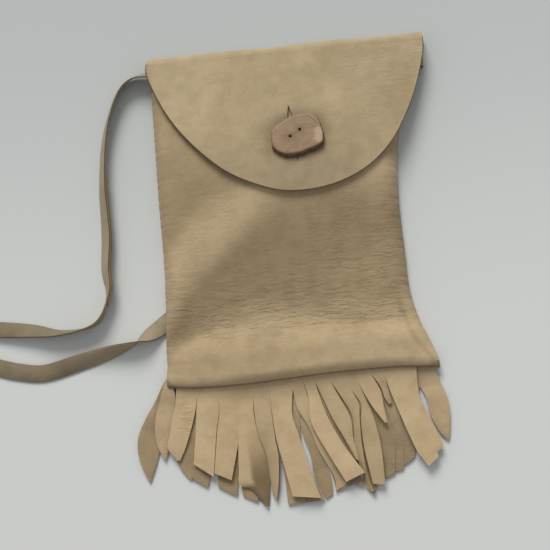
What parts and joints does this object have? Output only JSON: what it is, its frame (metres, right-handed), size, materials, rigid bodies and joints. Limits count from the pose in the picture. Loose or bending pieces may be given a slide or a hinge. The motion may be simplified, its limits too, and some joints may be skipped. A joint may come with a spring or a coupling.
{
  "type": "fringed leather medicine bag",
  "caption": "Flat buckskin pouch with a rounded fold-over flap, a sliced wooden button in a slit buttonhole, a cut leather fringe and a flat neck strap.",
  "frame": {"origin": "bottom centre of the bag's box, strap left out; the back of the bag lies on z = 0", "axes": "+X to the wearer's left as seen from the front (right in the picture), +Y from the fringe up to the fold of the flap, +Z out of the front"},
  "size_m": [0.332, 0.243, 0.0198],
  "materials": {
    "buckskin": "soft matt tanned deerskin",
    "flap_leather": "soft matt tanned deerskin, a little smoother",
    "strap_leather": "matt cut lace",
    "button_wood": "sanded slice with some bark left on its edge",
    "sinew": "waxed thread"
  },
  "bodies": {
    "pouch": {"back_panel": "buckskin", "front_panel": "buckskin", "fringe_back": "buckskin", "fringe_front": "buckskin", "button": "button_wood", "button_thread": "sinew", "strap_first_run": "strap_leather", "strap_coil": "strap_leather", "strap_last_run": "strap_leather"},
    "flap": {"flap": "flap_leather", "buttonhole_lips": "flap_leather"}
  },
  "joints": [
    {"name": "flap_fold", "type": "hinge", "parent": "pouch", "child": "flap", "pos_m": [0.006, 0.1166, 0.0097], "axis": [-1, 0, 0], "range_deg": [0, 175], "deforming": ["buttonhole_lips"]}
  ]
}
